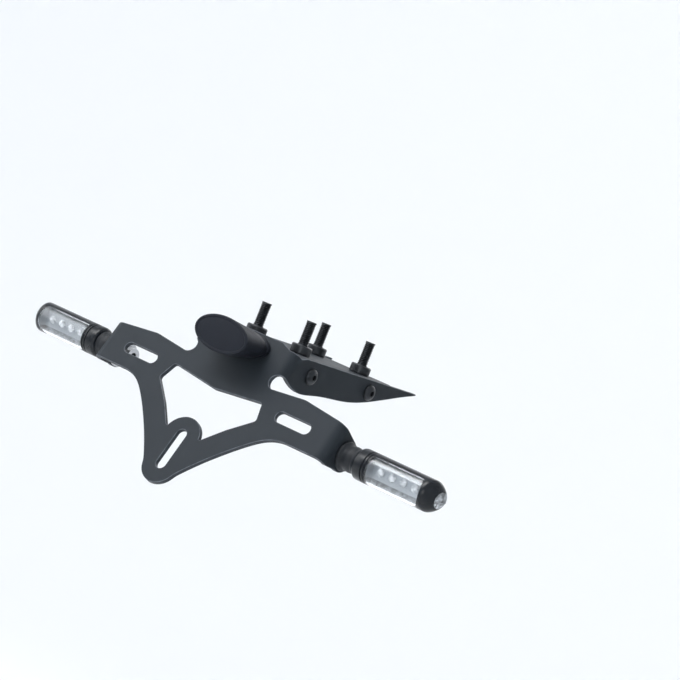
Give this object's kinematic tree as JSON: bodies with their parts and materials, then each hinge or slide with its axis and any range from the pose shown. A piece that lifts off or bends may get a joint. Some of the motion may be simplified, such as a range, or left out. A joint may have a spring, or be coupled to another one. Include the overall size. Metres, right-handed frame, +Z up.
{
  "type": "motorbike tail tidy",
  "caption": "Folded black sheet-steel number-plate carrier for a motorbike tail, with a plate lamp, slotted wings, a looped lower arm and bullet indicators on rubber stalks.",
  "frame": {"origin": "middle of the four mounting bolts, on the seat plane at the top of their spacers", "axes": "+X to the bike's right, +Y forward, +Z up along the mounting bolts"},
  "size_m": [0.3076, 0.1625, 0.112],
  "materials": {
    "powder_coat": "satin black powder coat on steel sheet",
    "black_steel": "black oxide",
    "zinc_steel": "zinc plated",
    "spacer_alloy": "black anodised",
    "black_plastic": "fine moulded grain",
    "clear_lens": "clear moulded plastic",
    "circuit_board": "dark solder mask",
    "led_chip": "phosphor under clear dome",
    "reflector": "vacuum metallised plastic",
    "stalk_rubber": "soft matt moulding"
  },
  "bodies": {
    "root": {"main_bracket": "powder_coat", "mounting_bracket": "powder_coat", "mounting_bolts": "black_steel", "mounting_washers": "zinc_steel", "mounting_spacers": "spacer_alloy", "side_screws": "black_steel", "side_nuts": "zinc_steel", "lamp_housing": "black_plastic", "lamp_window": "clear_lens", "lamp_board": "circuit_board", "lamp_leds": "led_chip", "lamp_screws": "black_steel", "lamp_washers": "zinc_steel", "left_indicator_housing": "black_plastic", "left_indicator_lens": "clear_lens", "left_indicator_tip_lens": "clear_lens", "left_indicator_reflector": "reflector", "left_indicator_board": "circuit_board", "left_indicator_leds": "led_chip", "left_indicator_stalk": "stalk_rubber", "left_indicator_stud": "zinc_steel", "left_indicator_washer": "zinc_steel", "left_indicator_nut": "zinc_steel", "right_indicator_housing": "black_plastic", "right_indicator_lens": "clear_lens", "right_indicator_tip_lens": "clear_lens", "right_indicator_reflector": "reflector", "right_indicator_board": "circuit_board", "right_indicator_leds": "led_chip", "right_indicator_stalk": "stalk_rubber", "right_indicator_stud": "zinc_steel", "right_indicator_washer": "zinc_steel", "right_indicator_nut": "zinc_steel"}
  },
  "joints": []
}
